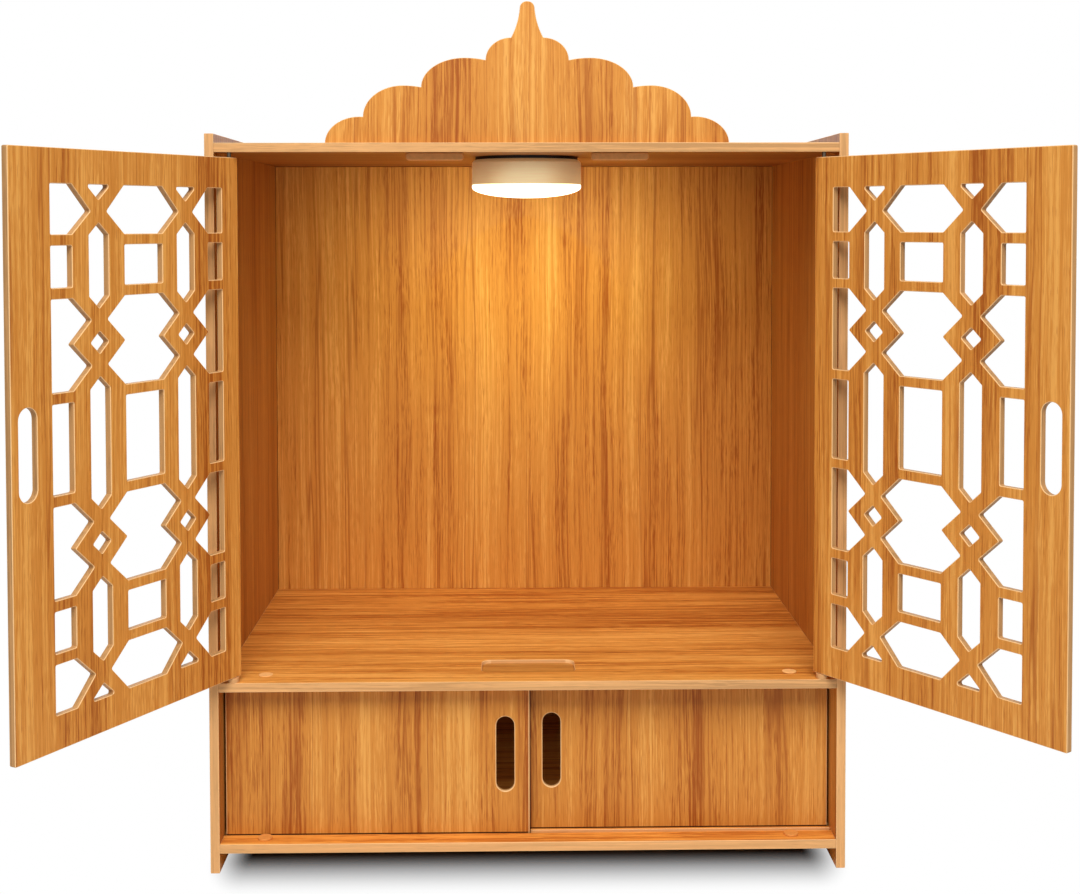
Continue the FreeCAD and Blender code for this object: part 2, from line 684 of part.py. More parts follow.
def door_catches():
    """Two bars with round ends under the top board, just behind the closed doors."""
    catches = []
    y = f"{PIVOT_Y} + sizes.door_thickness / 2 + sizes.catch_gap"
    for name, sign in (("left", "-"), ("right", "")):
        blank = block(
            f"catch_blank_{name}", "sizes.catch_length", "sizes.catch_thickness", "sizes.catch_drop",
            f"{sign}sizes.catch_centre - sizes.catch_length / 2", y, f"{ROOF_UNDER} - sizes.catch_drop",
        )
        doc.recompute()
        catch = doc.addObject("Part::Fillet", f"door_catch_{name}")
        catch.Base = blank
        corner = value("sizes.catch_corner")
        catch.Edges = [(index, corner, corner) for index in upright_corners(blank)]
        catches.append(catch)
    return catches


def lamp():
    """The round lamp under the top board: a dark plate, a drum and a shallow dome."""
    plate_z = f"{ROOF_UNDER} - sizes.lamp_plate_thickness"
    plate = rod(
        "lamp_mount_plate", "sizes.lamp_plate_radius", "sizes.lamp_plate_thickness",
        "0", LAMP_Y, plate_z,
    )
    drum_z = f"{plate_z} - sizes.lamp_drum"
    blank = rod("lamp_drum_blank", "sizes.lamp_radius", "sizes.lamp_drum", "0", LAMP_Y, drum_z)
    doc.recompute()
    drum = doc.addObject("Part::Chamfer", "lamp_body")
    drum.Base = blank
    edge = value("sizes.lamp_edge")
    middle = blank.Shape.CenterOfMass.z
    drum.Edges = [
        (index, edge, edge) for index, rim in enumerate(blank.Shape.Edges, 1)
        if rim.isClosed() and rim.CenterOfMass.z > middle
    ]
    radius = value("sizes.lamp_radius")
    lip = value("sizes.diffuser_lip")
    bend = value("sizes.diffuser_shoulder")
    bevels = round(value("sizes.shoulder_bevels"))
    points = [Vector(0, 0, 0), Vector(radius, 0, 0)]
    for step in range(bevels + 1):
        turn = math.pi / 2 * step / bevels
        inward = bend * (1 - math.cos(turn))
        points.append(Vector(radius - inward, 0, -lip - bend * math.sin(turn)))
    points.append(points[-1] - Vector(value("sizes.diffuser_ring"), 0, value("sizes.diffuser_slope")))
    points.append(Vector(0, 0, -value("sizes.lamp_dome")))
    profile = Part.makePolygon(points + [points[0]])
    dome = Part.Face(profile).revolve(Vector(0, 0, 0), Vector(0, 0, 1), 360)
    seat = Vector(0, value(LAMP_Y), value(drum_z))
    diffuser = plain_feature("lamp_diffuser", dome, Placement(seat, Rotation()))
    return [plate, drum, diffuser]


pieces = side_panels() + back_panel() + top_board() + shelf_board() + bottom_board()
pieces += crown_board() + lattice_doors() + pivots() + sliding_doors()
pieces += fitting_covers() + door_catches() + lamp()
doc.recompute()

for thing in doc.Objects:
    if "Invalid" in thing.State or "Error" in thing.State:
        raise RuntimeError(f"{thing.Label} failed: {thing.State}")
for piece in pieces:
    if piece.Shape.isNull() or not piece.Shape.isValid():
        raise RuntimeError(f"{piece.Label} has no valid shape")

os.makedirs("parts", exist_ok=True)
for piece in pieces:
    piece.Shape.exportStep(f"parts/{piece.Label}.step")
print(f"{len(pieces)} pieces written")
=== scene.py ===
"""Pooja mandir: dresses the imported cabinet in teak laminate, lights its lamp and sets the stage.

Metres, +Z up, the front faces -Y. The origin is on the floor at the middle of the back panel.
"""

import math

import bmesh
import bpy
from bpy.props import FloatProperty, FloatVectorProperty, PointerProperty
from mathutils import Matrix, Vector


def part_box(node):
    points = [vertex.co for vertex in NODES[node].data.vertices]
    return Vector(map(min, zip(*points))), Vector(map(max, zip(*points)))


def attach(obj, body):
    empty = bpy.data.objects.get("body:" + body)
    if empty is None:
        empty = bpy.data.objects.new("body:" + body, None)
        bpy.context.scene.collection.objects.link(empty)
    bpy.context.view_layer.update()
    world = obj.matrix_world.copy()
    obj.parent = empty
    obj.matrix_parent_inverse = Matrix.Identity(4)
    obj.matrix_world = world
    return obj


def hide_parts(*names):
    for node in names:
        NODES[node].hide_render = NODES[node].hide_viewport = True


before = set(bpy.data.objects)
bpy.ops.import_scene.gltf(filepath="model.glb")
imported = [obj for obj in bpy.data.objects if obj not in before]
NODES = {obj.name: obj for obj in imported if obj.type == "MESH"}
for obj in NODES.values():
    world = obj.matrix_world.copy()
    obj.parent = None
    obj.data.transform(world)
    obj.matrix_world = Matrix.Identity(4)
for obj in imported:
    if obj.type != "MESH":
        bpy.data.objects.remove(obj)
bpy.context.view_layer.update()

bl_info = {
    "name": "Pooja Mandir",
    "version": (1, 0, 0),
    "blender": (4, 5, 0),
    "location": "3D Viewport > Sidebar > Mandir",
    "description": "Teak laminate home shrine with pierced doors, sliding doors and a lit lamp",
    "category": "Object",
}

MILLIMETRE = 0.001

# The picture's frame and lens, in pixels, and the sensor that stands behind them.
PICTURE_WIDTH = 1080
PICTURE_HEIGHT = 894
FOCAL_PIXELS = 1561.2
CENTRE_COLUMN = 539.6
CENTRE_ROW = 277.9
SENSOR_WIDTH = 36.0

# Meshes: what counts as one place, one plane, one way, one face, an arris and a corner.
SAME_PLACE = 0.01 * MILLIMETRE
SAME_PLANE = 0.05 * MILLIMETRE
SAME_WAY = 0.999
FLAT_ANGLE = math.radians(0.5)
ARRIS_ANGLE = math.radians(30)
SHARP_TURN = math.radians(20)
# Meshes: how finely the round ones are divided.
FILLET_POINTS = 4
ROUND_CORNERS = 128
DOME_STEPS = 28
DOME_EDGE = 0.3 * MILLIMETRE
FLOOR_RINGS = 24
FLOOR_CORNERS = 96
# The floor fades out between these shares of its radius.
FLOOR_FADE = (0.6, 0.98)

# How a board lies: its thickness direction, and the turn that brings its grain to Z.
SIDE_ON = ((1.0, 0.0, 0.0), (0.0, 0.0, math.radians(90)))
FACING_FRONT = ((0.0, 1.0, 0.0), (0.0, 0.0, 0.0))
LYING_LEVEL = ((0.0, 0.0, 1.0), (0.0, math.radians(-90), 0.0))

# The carcass: board, how it lies, its own stretch of grain, contrast, shade, and if it is let in
# with a dark joint rim that is partly painted shade. shade is painted light and shade: below 1 a
# painted shade on the side walls and the ceiling, above 1 a painted light on the shelf and the
# bottom board.
CARCASS = (
    ("side_panel_left", SIDE_ON, (0.31, 0.0, 0.4), 1.0, 0.76, False),
    ("side_panel_right", SIDE_ON, (0.93, 0.5, 0.1), 1.0, 0.80, False),
    ("back_panel", FACING_FRONT, (0.15, 0.2, 0.6), 1.0, 1.0, True),
    ("top_board", LYING_LEVEL, (0.2, 0.5, 0.3), 1.0, 0.62, False),
    ("shelf_board", LYING_LEVEL, (0.6, 0.1, 0.8), 1.5, 1.07, False),
    ("bottom_board", LYING_LEVEL, (1.1, 0.7, 0.2), 1.3, 1.34, False),
)

# How the grain wanders sideways: scale across it, scale along it, detail, reach in metres.
GRAIN_SWAYS = ((5.0, 1.6, 2.0, 0.022), (32.0, 11.0, 1.0, 0.002))
# The grain's layers of noise: scale across it, scale along it, detail, roughness.
GRAIN_LAYERS = {
    "boards": (13.0, 0.6, 2.0, 0.5),
    "bands": (45.0, 1.4, 3.0, 0.6),
    "streaks": (290.0, 3.2, 3.0, 0.65),
    "fibres": (720.0, 9.0, 2.0, 0.6),
    "veins": (75.0, 1.5, 2.0, 0.5),
    "pores": (1300.0, 60.0, 0.0, 0.5),
    "flecks": (680.0, 50.0, 2.0, 0.6),
    "patches": (70.0, 16.0, 1.0, 0.5),
}
# How far a layer lightens or darkens the wood: the noise's range, and the most it adds.
GRAIN_SHARES = {
    "boards": (0.32, 0.68, 0.16),
    "bands": (0.28, 0.72, 0.13),
    "streaks": (0.28, 0.72, 0.22),
    "fibres": (0.25, 0.75, 0.15),
    "flecks": (0.25, 0.75, 0.16),
}
# The flecks are weaker or stronger by patches.
PATCH_STRENGTH = (0.35, 0.70, 0.35, 1.30)
# A vein is where its noise is near this middle. It is deepest in the dark bands.
VEIN_MIDDLE = 0.45
VEIN_HALF_WIDTH = 0.04
VEIN_DEPTH = (0.58, 0.42, 0.0, 0.65)
PORE_DEPTH = (0.66, 0.76, 0.0, 0.34)
# How much the streaks change the shine, and what makes up the relief.
SHINE_CHANGE = 0.12
FIBRE_RELIEF = 0.5
STREAK_RELIEF = 0.5
PORE_RELIEF = 0.8

# Where an edge and its arris begin and end, by how far the surface faces the thickness.
EDGE_BEGINS = (0.80, 0.55)
ARRIS_RISES = (0.10, 0.35)
ARRIS_FALLS = (0.995, 0.93)
# Where a gap's painted shadow line and the painted highlight line beside it begin and end, in
# widths from the board's edge.
DARK_FALLS = (0.7, 1.2)
PALE_RISES = (0.9, 1.4)
PALE_FALLS = (1.9, 2.5)
# How a cut edge differs from a face: its stretch of grain, its tones and its contrast.
EDGE_SHIFT = (0.37, 0.11, 0.73)
EDGE_LIGHTER = 1.14
EDGE_DARKER = 0.72
EDGE_CONTRAST = 1.3
# How strongly the arris line shows: a painted highlight, together with the pale trimmed laminate.
ARRIS_SHARE = 0.75

# Moulded and metal finishes: the range of noise that shows, its scales and the fine relief.
PATTERN_RANGE = (0.3, 0.7)
MOTTLE_SCALE = 300.0
SKIN_SCALE = 3200.0
TURNED_SCALES = (40.0, 40.0, 900.0)
CLOUD_SCALE = 60.0
FINE_RELIEF = 0.05 * MILLIMETRE
SPECULAR_LEVEL = 0.2


def tone(red, green, blue):
    """A colour written as on screen, 0 to 255, as Blender's linear values."""
    def linear(channel):
        value = channel / 255
        if value <= 0.04045:
            return value / 12.92
        return ((value + 0.055) / 1.055) ** 2.4

    return (linear(red), linear(green), linear(blue))


def times(colour_value, factor):
    """A colour made lighter or darker, no lighter than white."""
    return tuple(min(1.0, channel * factor) for channel in colour_value)


def setting(kind, **fixed):
    """A maker of properties of one kind, from a name, a description and a default."""
    def make(name, description, default):
        return kind(name=name, description=description, default=default, **fixed)

    return make


colour = setting(FloatVectorProperty, subtype="COLOR", size=3, min=0.0, max=1.0)
place = setting(FloatVectorProperty, subtype="TRANSLATION", size=3)
length = setting(FloatProperty, subtype="DISTANCE", unit="LENGTH", min=0.0)
share = setting(FloatProperty, subtype="FACTOR", min=0.0, max=1.0)
angle = setting(FloatProperty, subtype="ANGLE")
power = setting(FloatProperty, subtype="POWER", min=0.0)
strength = setting(FloatProperty, min=0.0)


class TeakSettings(bpy.types.PropertyGroup):
    """Colours and grain of the laminated boards."""

    light: colour("Light grain", "Palest streaks of the teak face", tone(233, 168, 84))
    middle: colour("Middle grain", "Most of the teak face", tone(210, 138, 58))
    dark: colour("Dark grain", "Darkest streaks of the teak face", tone(161, 84, 25))
    band: colour("Edge band", "Pale band on the boards' front edges", tone(218, 164, 106))
    core: colour("Bare core", "Board's core where it is cut through", tone(196, 146, 92))
    # The arris colour is a painted highlight where the rounded edges catch the light, and also the
    # pale trimmed laminate.
    arris: colour("Arris highlight and trim", "Thin line where a face meets an edge", tone(250, 208, 150))
    # The joint colour is also painted shadow: the sliders' gap lines, and the dark rims round the
    # back panel and the recess's darker sheet.
    gap: colour("Joint", "Dark line where a board meets its neighbours", tone(52, 22, 8))
    gap_shade_width: length("Joint width", "Width of that dark line", 1.0 * MILLIMETRE)
    arris_width: length("Arris", "Rounding of the boards' edges", 0.6 * MILLIMETRE)
    hole_corner: length("Hole corners", "Rounding of the pierced holes' corners", 1.4 * MILLIMETRE)
    slot_rim_width: length("Slot rim", "Bevel round the sliding doors' slots", 1.2 * MILLIMETRE)
    roughness: share("Roughness", "Satin laminate", 0.46)
    relief: share("Relief", "How strongly the grain's relief shows", 0.22)
    relief_depth: length("Relief depth", "Depth of the grain's relief", 0.2 * MILLIMETRE)


class FittingSettings(bpy.types.PropertyGroup):
    """Colours and roundings of the small fittings."""

    cream: colour("Cream covers", "Round covers on the shelf", tone(255, 196, 124))
    brown: colour("Brown covers", "Round covers on the bottom board", tone(228, 152, 76))
    # The catches' tone is painted lighter than their own: a painted light for the shade of the top
    # board over them.
    catch: colour("Catches", "Bars behind the closed doors", tone(240, 172, 104))
    washer: colour("Washers", "Spacers under the lattice doors", tone(214, 160, 104))
    pin: colour("Pins", "Steel of the pivot pins", tone(96, 84, 72))
    catch_arris: length("Catch arris", "Rounding of the catches", 0.9 * MILLIMETRE)
    cover_arris: length("Cover arris", "Rounding of the covers", 0.3 * MILLIMETRE)


class RecessSettings(bpy.types.PropertyGroup):
    """The recess in the shelf and the darker sheet on its floor, a painted shade."""

    width: length("Width", "Recess from side to side", 93 * MILLIMETRE)
    breadth: length("Breadth", "Recess from front to rear", 44 * MILLIMETRE)
    depth: length("Depth", "Recess below the shelf's face", 4 * MILLIMETRE)
    corner: length("Corner", "Corner radius of the recess", 9 * MILLIMETRE)
    setback: length("Setback", "Recess behind the shelf's front edge", 31 * MILLIMETRE)
    play: length("Play", "Gap round the sheet", 0.15 * MILLIMETRE)
    sheet: length("Sheet", "Thickness of the sheet on the recess's floor", 0.6 * MILLIMETRE)


class LampSettings(bpy.types.PropertyGroup):
    """Colours and light of the lamp."""

    drum: colour("Drum", "Champagne metal of the drum", tone(255, 236, 190))
    drum_arris: length("Drum arris", "Rounding of the drum's rims", 1.0 * MILLIMETRE)
    plate: colour("Plate", "Mounting plate", tone(26, 24, 22))
    opal: colour("Opal", "Diffuser when the lamp is off", tone(250, 244, 232))
    lip: length("Lip", "Upright rim of the diffuser", 2.5 * MILLIMETRE)
    glow: colour("Glow", "Colour of the lamp's light", (0.94, 1.0, 0.74))
    brightness: strength("Brightness", "Brightness of the diffuser's face", 2.2)
    # The spill is a painted glow on the drum, standing in for the diffuser's light on it.
    spill: colour("Spill", "The diffuser's light on the drum", tone(255, 214, 150))
    spill_strength: share("Spill strength", "How strongly the drum's lower rim is lit", 0.28)
    spill_top: share("Spill at the top", "What is left of it at the drum's top", 0.35)
    beam: power("Beam", "Light thrown down and back into the niche", 0.56)
    beam_width: length("Beam width", "Beam's source from side to side", 0.30)
    beam_breadth: length("Beam breadth", "Beam's source from front to rear", 0.09)
    beam_drop: length("Beam drop", "Beam's source below the diffuser", 6 * MILLIMETRE)
    beam_aim: place("Beam aim", "Where the beam points, from its source", (0.0, 0.30, -0.13))
    beam_spread: angle("Beam spread", "How wide the beam opens", math.radians(105))


class StageSettings(bpy.types.PropertyGroup):
    """Floor, light and camera."""

    floor: colour("Floor", "Pale floor", (0.93, 0.93, 0.93))
    floor_radius: length("Floor radius", "Where the floor has faded out", 1.7)
    # The shade colour is a painted shadow, which the camera sees on the floor round the base.
    shade: colour("Shade", "Floor as seen in the base's shadow", (0.055, 0.06, 0.066))
    shadow_reach: length("Shadow reach", "How far before the base the shade shows", 0.050)
    base_centre: place("Base centre", "Middle of the dark floor under the base", (0.0, -0.2, 0.0))
    base_half: place("Base half", "Half of the dark floor's width and depth", (0.275, 0.15, 0.0))
    side_falloff: place("Side falloff", "How fast the shade ends each way", (2.2, 1.0, 0.0))
    sky: share("Sky", "Level of the soft light from all round", 0.20)
    target: place("Target", "Where the large lights point", (0.0, -0.2, 0.42))
    light_width: length("Light width", "Width of the large lights", 1.9)
    light_height: length("Light height", "Height of the large lights", 1.6)
    key_place: place("Key", "The right one of the two front lights", (0.25, -2.3, 2.4))
    key_power: power("Keys", "Each of the two large soft lights, front and above", 45.0)
    back_place: place("Back", "The large soft light behind", (0.0, 2.4, 1.6))
    back_power: power("Back fill", "The large soft light behind", 16.0)
    space_place: place("Space", "Small light in the storage space", (0.0, -0.30, 0.15))
    space_aim: place("Space aim", "Where that light points, from its place", (0.0, 0.2, -0.03))
    space_power: power("Space fill", "The small light in the storage space", 0.03)
    space_width: length("Space width", "Width of that light", 0.4)
    space_height: length("Space height", "Height of that light", 0.05)
    camera_place: place("Camera", "Where the picture is taken from", (-0.0149, -1.8996, 0.6328))
    pitch: angle("Pitch", "Camera looks down by", math.radians(2.02))
    yaw: angle("Yaw", "Camera looks to the right by", math.radians(1.0))
    roll: angle("Roll", "Camera leans to the right by", math.radians(0.1))


class Nodes:
    """Adds nodes to a tree, feeds their inputs and keeps them in rows."""

    def __init__(self, tree):
        self.tree = tree
        self.count = 0

    def add(self, kind, inputs=None, **settings):
        """A node of one kind. A socket in inputs is linked, anything else is written there."""
        made = self.tree.nodes.new(kind)
        made.location = (220 * (self.count // 4), -260 * (self.count % 4))
        self.count += 1
        for name, value in settings.items():
            setattr(made, name, value)
        for name, value in (inputs or {}).items():
            self.feed(made.inputs[name], value)
        return made

    def feed(self, socket, value):
        """Link a socket, or write a constant on the input."""
        if isinstance(value, bpy.types.NodeSocket):
            self.tree.links.new(value, socket)
        elif socket.type == "RGBA" and len(value) == 3:
            socket.default_value = (*value, 1.0)
        else:
            socket.default_value = value

    def maths(self, operation, first, second=0.5, clamp=False):
        """A sum of one or two values."""
        node = self.add("ShaderNodeMath", {0: first, 1: second}, operation=operation)
        node.use_clamp = clamp
        return node.outputs[0]

    def vectors(self, operation, first, second=(0.0, 0.0, 0.0)):
        """A sum of one or two vectors. A length or a dot product gives a value."""
        node = self.add("ShaderNodeVectorMath", {0: first, 1: second}, operation=operation)
        return node.outputs["Value" if operation in ("LENGTH", "DOT_PRODUCT") else "Vector"]

    def spread(self, value, low, high, to_low=0.0, to_high=1.0):
        """A value between low and high stretched to another range, smooth at both ends."""
        node = self.add(
            "ShaderNodeMapRange",
            {"Value": value, "From Min": low, "From Max": high,
             "To Min": to_low, "To Max": to_high},
            interpolation_type="SMOOTHSTEP",
        )
        return node.outputs["Result"]

    def blend(self, factor, first, second):
        """Two colours mixed by a factor."""
        node = self.add("ShaderNodeMix", data_type="RGBA")
        self.feed(node.inputs["Factor"], factor)
        self.feed(node.inputs[6], first)
        self.feed(node.inputs[7], second)
        return node.outputs[2]

    def noise(self, vector, scales, detail=2.0, roughness=0.5):
        """Noise over coordinates that are stretched by a scale along each axis."""
        stretched = self.vectors("MULTIPLY", vector, scales)
        node = self.add(
            "ShaderNodeTexNoise",
            {"Vector": stretched, "Scale": 1.0, "Detail": detail, "Roughness": roughness},
        )
        return node.outputs["Fac"]

    def bump(self, height, strength, depth):
        """A normal from a height."""
        node = self.add(
            "ShaderNodeBump", {"Strength": strength, "Distance": depth, "Height": height}
        )
        return node.outputs[0]


def new_group(name, inputs, outputs):
    """An empty shader node group with named sockets of these kinds."""
    group = bpy.data.node_groups.new(name, "ShaderNodeTree")
    for direction, sockets in (("INPUT", inputs), ("OUTPUT", outputs)):
        for label, kind in sockets.items():
            group.interface.new_socket(label, in_out=direction, socket_type="NodeSocket" + kind)
    maker = Nodes(group)
    entry = maker.add("NodeGroupInput")
    leave = maker.add("NodeGroupOutput")
    leave.location = (2400, 0)
    return group, maker, entry.outputs, leave.inputs


def teak_grain_group():
    """Teak laminate seen as a solid: grain along Z, streaks across X. Colour, shine, relief."""
    group, maker, given, put = new_group(
        "teak_grain",
        {"Position": "Vector", "Light": "Color", "Middle": "Color", "Dark": "Color",
         "Contrast": "Float", "Roughness": "Float"},
        {"Color": "Color", "Roughness": "Float", "Height": "Float"},
    )
    sways = []
    for across, along, detail, reach in GRAIN_SWAYS:
        wander = maker.noise(given["Position"], (across, across, along), detail)
        sways.append(maker.maths("MULTIPLY", maker.maths("SUBTRACT", wander, 0.5), reach))
    sideways = maker.add("ShaderNodeCombineXYZ", {"X": maker.maths("ADD", *sways)})
    bent = maker.vectors("ADD", given["Position"], sideways.outputs[0])
    layers = {
        name: maker.noise(bent, (across, across, along), detail, roughness)
        for name, (across, along, detail, roughness) in GRAIN_LAYERS.items()
    }

    shares = {
        name: maker.spread(layers[name], low, high, -most, most)
        for name, (low, high, most) in GRAIN_SHARES.items()
    }
    strength = maker.spread(layers["patches"], *PATCH_STRENGTH)
    flecked = maker.maths("MULTIPLY", shares["flecks"], strength)
    fine = maker.maths("ADD", maker.maths("ADD", shares["streaks"], shares["fibres"]), flecked)
    total = maker.maths("ADD", maker.maths("ADD", shares["boards"], shares["bands"]), fine)
    scaled = maker.maths("MULTIPLY", total, given["Contrast"])
    level = maker.maths("ADD", scaled, 0.5, clamp=True)
    ground = maker.blend(maker.spread(level, 0.0, 0.5), given["Dark"], given["Middle"])
    face = maker.blend(maker.spread(level, 0.5, 1.0), ground, given["Light"])

    off_vein = maker.maths("ABSOLUTE", maker.maths("SUBTRACT", layers["veins"], VEIN_MIDDLE))
    vein_line = maker.spread(off_vein, 0.0, VEIN_HALF_WIDTH, 1.0, 0.0)
    vein_depth = maker.spread(layers["bands"], *VEIN_DEPTH)
    vein_mask = maker.maths("MULTIPLY", vein_line, vein_depth)
    pore_mask = maker.spread(layers["pores"], *PORE_DEPTH)
    veined = maker.blend(vein_mask, face, given["Dark"])
    maker.feed(put["Color"], maker.blend(pore_mask, veined, given["Dark"]))

    change = maker.maths("MULTIPLY", layers["streaks"], SHINE_CHANGE)
    dull = maker.maths("ADD", change, given["Roughness"])
    maker.feed(put["Roughness"], maker.maths("SUBTRACT", dull, SHINE_CHANGE / 2))
    fine_relief = maker.maths("MULTIPLY", layers["fibres"], FIBRE_RELIEF)
    broad_relief = maker.maths("MULTIPLY", layers["streaks"], STREAK_RELIEF)
    relief = maker.maths("ADD", fine_relief, broad_relief)
    pits = maker.maths("MULTIPLY", pore_mask, PORE_RELIEF)
    maker.feed(put["Height"], maker.maths("SUBTRACT", relief, pits))
    return group


def board_edge_group():
    """Tells a board's faces from its cut edges and from the rounded arrises between them."""
    group, maker, given, put = new_group(
        "board_edges",
        {"Normal": "Vector", "Thickness": "Vector"},
        {"Edge": "Float", "Arris": "Float"},
    )
    facing = maker.vectors("DOT_PRODUCT", given["Normal"], given["Thickness"])
    turned = maker.maths("ABSOLUTE", facing)
    maker.feed(put["Edge"], maker.spread(turned, *EDGE_BEGINS))
    rising = maker.spread(turned, *ARRIS_RISES)
    falling = maker.spread(turned, *ARRIS_FALLS)
    maker.feed(put["Arris"], maker.maths("MULTIPLY", rising, falling))
    return group


def gap_shade_and_highlight_group():
    """A gap along a board's edge: a painted shadow line in the gap, then a painted highlight line
    beside it, by the distance from it.
    """
    group, maker, given, put = new_group(
        "gap_shade_and_highlight_lines", {"Distance": "Float", "Width": "Float"}, {"Dark": "Float", "Pale": "Float"}
    )
    widths = maker.maths("DIVIDE", given["Distance"], given["Width"])
    maker.feed(put["Dark"], maker.spread(widths, *DARK_FALLS, 1.0, 0.0))
    rising = maker.spread(widths, *PALE_RISES)
    falling = maker.spread(widths, *PALE_FALLS, 1.0, 0.0)
    maker.feed(put["Pale"], maker.maths("MULTIPLY", rising, falling))
    return group


SHARED_GROUPS = {}


def shared_group(maker, build, inputs):
    """A node of a shader group, which is built when it is first used."""
    if build not in SHARED_GROUPS:
        SHARED_GROUPS[build] = build()
    return maker.add("ShaderNodeGroup", inputs, node_tree=SHARED_GROUPS[build]).outputs


def new_material(name):
    """An empty material with its Principled shader joined to the output."""
    material = bpy.data.materials.new(name)
    material.use_nodes = True
    material.node_tree.nodes.clear()
    maker = Nodes(material.node_tree)
    output = maker.add("ShaderNodeOutputMaterial")
    output.location = (2600, 0)
    shader = maker.add("ShaderNodeBsdfPrincipled")
    shader.location = (2300, 0)
    shader.inputs["Specular IOR Level"].default_value = SPECULAR_LEVEL
    material.node_tree.links.new(shader.outputs[0], output.inputs["Surface"])
    return material, maker, shader


def grain(maker, coordinates, shift, turn, tones, contrast, roughness):
    """Teak grain from a stretch of its own, turned along the board, in three tones."""
    mapping = maker.add(
        "ShaderNodeMapping", {"Vector": coordinates, "Location": shift, "Rotation": turn}
    )
    light, middle, dark = tones
    return shared_group(maker, teak_grain_group, {
        "Position": mapping.outputs[0], "Light": light, "Middle": middle, "Dark": dark,
        "Contrast": contrast, "Roughness": roughness,
    })


def board_material(
    name, lay, shift, edge="band", contrast=1.0, shade=1.0, joint_and_shade_rim=False, shaded_gaps=()
):
    """Teak laminate for one board: how it lies, its stretch of grain and what its edges show.

    shade makes the whole face lighter or darker than its neighbours: a painted light or painted
    shade for light that falls on it differently.
    A let-in board shows a dark joint line round its face, partly painted shade, in place of the
    pale arris line.
    Each gap is a painted shadow line along an edge with a painted highlight line beside it: its
    axis, its place on it, the side where the board is, and how strongly its highlight shows.
    """
    teak = bpy.context.scene.mandir_teak
    thickness, turn = lay
    material, maker, shader = new_material(name)
    coordinates = maker.add("ShaderNodeTexCoord").outputs
    # shade scales the grain's tones: a painted light or painted shade over the whole board.
    tones = [times(grain_tone, shade) for grain_tone in (teak.light, teak.middle, teak.dark)]
    face_grain = grain(
        maker, coordinates["Object"], shift, turn, tones, contrast, teak.roughness
    )
    pale = tuple(teak.band if edge == "band" else teak.core)
    pale_tones = (times(pale, EDGE_LIGHTER), pale, times(pale, EDGE_DARKER))
    edge_grain = grain(
        maker, coordinates["Object"], EDGE_SHIFT, turn, pale_tones, EDGE_CONTRAST, teak.roughness
    )
    edges = shared_group(
        maker, board_edge_group, {"Normal": coordinates["Normal"], "Thickness": thickness}
    )
    body = maker.blend(edges["Edge"], face_grain["Color"], edge_grain["Color"])
    # A thin line on the rounded arris: a painted highlight with the pale trimmed laminate, or
    # round a let-in board a dark joint line that is partly painted shade.
    line = maker.maths("MULTIPLY", edges["Arris"], ARRIS_SHARE)
    face = maker.blend(line, body, tuple(teak.gap if joint_and_shade_rim else teak.arris))
    parts = maker.add("ShaderNodeSeparateXYZ", {"Vector": coordinates["Object"]})
    # Each gap paints a shadow line in the gap and a highlight line beside it.
    for axis, edge_place, side, pale_share in shaded_gaps:
        beyond = maker.maths("SUBTRACT", parts.outputs[axis], edge_place)
        inwards = maker.maths("MULTIPLY", beyond, side)
        gap_lines = shared_group(
            maker, gap_shade_and_highlight_group, {"Distance": inwards, "Width": teak.gap_shade_width}
        )
        pale_line = maker.maths("MULTIPLY", gap_lines["Pale"], pale_share)
        face = maker.blend(pale_line, face, tuple(teak.arris))
        face = maker.blend(gap_lines["Dark"], face, tuple(teak.gap))
    maker.feed(shader.inputs["Base Color"], face)
    maker.feed(shader.inputs["Roughness"], face_grain["Roughness"])
    relief = maker.bump(face_grain["Height"], teak.relief, teak.relief_depth)
    maker.feed(shader.inputs["Normal"], relief)
    return material


def vary(maker, shader, pattern, base, dimmed, roughness):
    """Colour and roughness that vary a little with a pattern."""
    shown = maker.spread(pattern, *PATTERN_RANGE)
    maker.feed(shader.inputs["Base Color"], maker.blend(shown, times(base, dimmed), base))
    dull = maker.spread(pattern, *PATTERN_RANGE, *roughness)
    maker.feed(shader.inputs["Roughness"], dull)


def moulded_material(name, base, roughness):
    """Moulded plastic: a faint mottle and a fine matt skin."""
    material, maker, shader = new_material(name)
    coordinates = maker.add("ShaderNodeTexCoord").outputs["Object"]
    mottle = maker.noise(coordinates, [MOTTLE_SCALE] * 3, detail=3.0)
    skin = maker.noise(coordinates, [SKIN_SCALE] * 3, detail=1.0)
    vary(maker, shader, mottle, base, dimmed=0.88, roughness=(roughness - 0.05, roughness + 0.05))
    maker.feed(shader.inputs["Normal"], maker.bump(skin, strength=0.15, depth=FINE_RELIEF))
    return material


def metal_material(name, base, roughness, metallic=1.0):
    """Metal with fine turned lines."""
    material, maker, shader = new_material(name)
    shader.inputs["Metallic"].default_value = metallic
    coordinates = maker.add("ShaderNodeTexCoord").outputs["Object"]
    lines = maker.noise(coordinates, TURNED_SCALES, detail=3.0)
    vary(maker, shader, lines, base, dimmed=0.93, roughness=(roughness - 0.05, roughness + 0.06))
    maker.feed(shader.inputs["Normal"], maker.bump(lines, strength=0.08, depth=FINE_RELIEF))
    return material


def opal_material(lamp):
    """The lit diffuser, faintly cloudy."""
    material, maker, shader = new_material("diffuser_opal")
    coordinates = maker.add("ShaderNodeTexCoord").outputs["Object"]
    cloud = maker.noise(coordinates, [CLOUD_SCALE] * 3, detail=2.0)
    vary(maker, shader, cloud, tuple(lamp.opal), dimmed=0.96, roughness=(0.32, 0.40))
    shown = maker.spread(cloud, *PATTERN_RANGE)
    dim_glow = times(lamp.glow, 0.97)
    maker.feed(shader.inputs["Emission Color"], maker.blend(shown, dim_glow, tuple(lamp.glow)))
    shader.inputs["Emission Strength"].default_value = lamp.brightness
    return material


